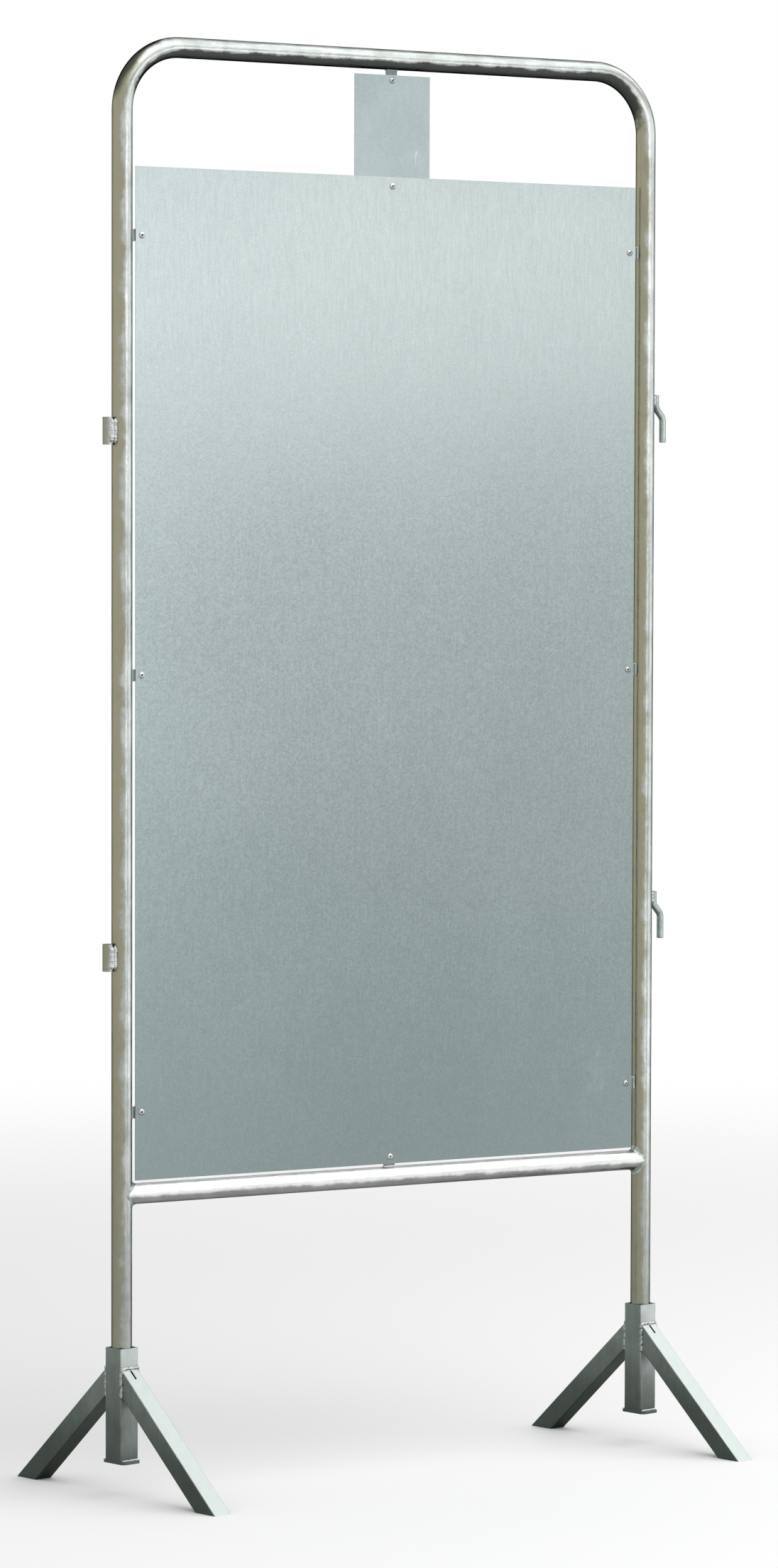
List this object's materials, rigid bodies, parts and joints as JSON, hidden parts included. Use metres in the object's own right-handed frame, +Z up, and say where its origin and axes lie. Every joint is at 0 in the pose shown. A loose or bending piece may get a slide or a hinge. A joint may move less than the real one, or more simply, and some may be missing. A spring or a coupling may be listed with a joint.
{
  "type": "free-standing notice board",
  "caption": "Free-standing steel notice board: a sheet riveted into a bent tube frame with a number plate, hooks and bushes to chain boards, standing in loose splayed feet.",
  "frame": {"origin": "on the ground, midway between the two posts and in the plane of their axes", "axes": "+Z up, +X from the bushes' post to the hooks' post, -Y towards the viewer of the sheet"},
  "size_m": [1.1878, 0.5148, 2.4485],
  "materials": {
    "galvanised_tube": "hot-dip galvanised, semi-gloss with zinc streaks",
    "galvanised_sheet": "galvanised sheet, matt with a faint zinc mottle",
    "galvanised_foot": "hot-dip galvanised, satin",
    "rivet": "bright",
    "mandrel": "broken steel stem"
  },
  "bodies": {
    "frame": {"frame_tube": "galvanised_tube", "lower_rail": "galvanised_tube", "left_tab_upper": "galvanised_tube", "left_tab_middle": "galvanised_tube", "left_tab_lower": "galvanised_tube", "right_tab_upper": "galvanised_tube", "right_tab_middle": "galvanised_tube", "right_tab_lower": "galvanised_tube", "top_tab": "galvanised_tube", "bottom_tab": "galvanised_tube", "panel_sheet": "galvanised_sheet", "number_plate": "galvanised_sheet", "panel_rivets": "rivet", "plate_rivet_upper": "rivet", "plate_rivet_lower": "rivet", "panel_mandrels": "mandrel", "plate_mandrel_upper": "mandrel", "plate_mandrel_lower": "mandrel", "upper_bush": "galvanised_tube", "lower_bush": "galvanised_tube", "upper_hook": "galvanised_tube", "lower_hook": "galvanised_tube"},
    "left_foot": {"left_socket": "galvanised_foot", "left_base_plate": "galvanised_foot", "left_front_leg": "galvanised_foot", "left_rear_leg": "galvanised_foot"},
    "right_foot": {"right_socket": "galvanised_foot", "right_base_plate": "galvanised_foot", "right_front_leg": "galvanised_foot", "right_rear_leg": "galvanised_foot"}
  },
  "joints": [
    {"name": "left_foot_swivel", "type": "hinge", "parent": "frame", "child": "left_foot", "pos_m": [-0.5235, 0, 0.06], "axis": [0, 0, 1], "continuous": true},
    {"name": "right_foot_swivel", "type": "hinge", "parent": "frame", "child": "right_foot", "pos_m": [0.5235, 0, 0.06], "axis": [0, 0, 1], "continuous": true}
  ]
}
